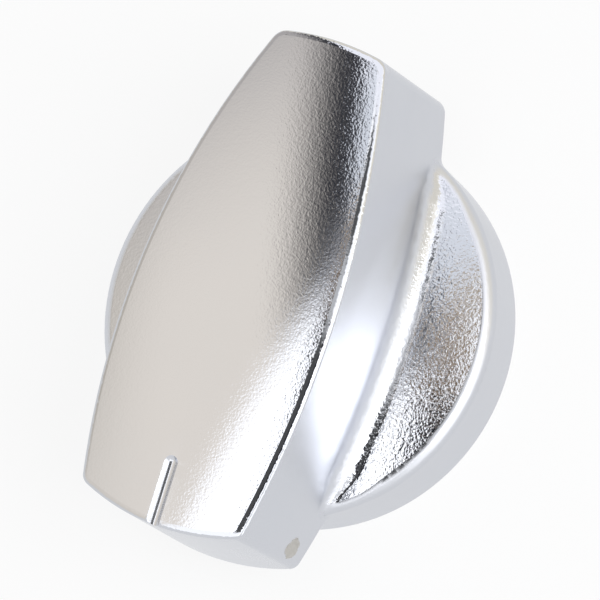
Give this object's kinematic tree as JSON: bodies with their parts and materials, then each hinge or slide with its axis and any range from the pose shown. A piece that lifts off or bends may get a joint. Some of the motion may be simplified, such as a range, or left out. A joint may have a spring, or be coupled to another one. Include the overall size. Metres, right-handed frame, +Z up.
{
  "type": "control knob",
  "caption": "Plated control knob for a food processor: round skirt with a tall, tapered, crowned bar grip that overhangs it, a pointer groove at the wide end and a shaft boss below.",
  "frame": {"origin": "on the shaft axis, in the plane of the skirt's base edge", "axes": "+Z up the shaft axis to the top of the grip, -Y to the pointer end of the bar, +X to the long side that the picture shows"},
  "size_m": [0.0406, 0.0498, 0.0243],
  "materials": {
    "plating": "bright chrome over moulded plastic; fine spark texture on the top of the grip and the upper face of the skirt, satin elsewhere"
  },
  "bodies": {
    "root": {"knob": "plating"}
  },
  "joints": []
}
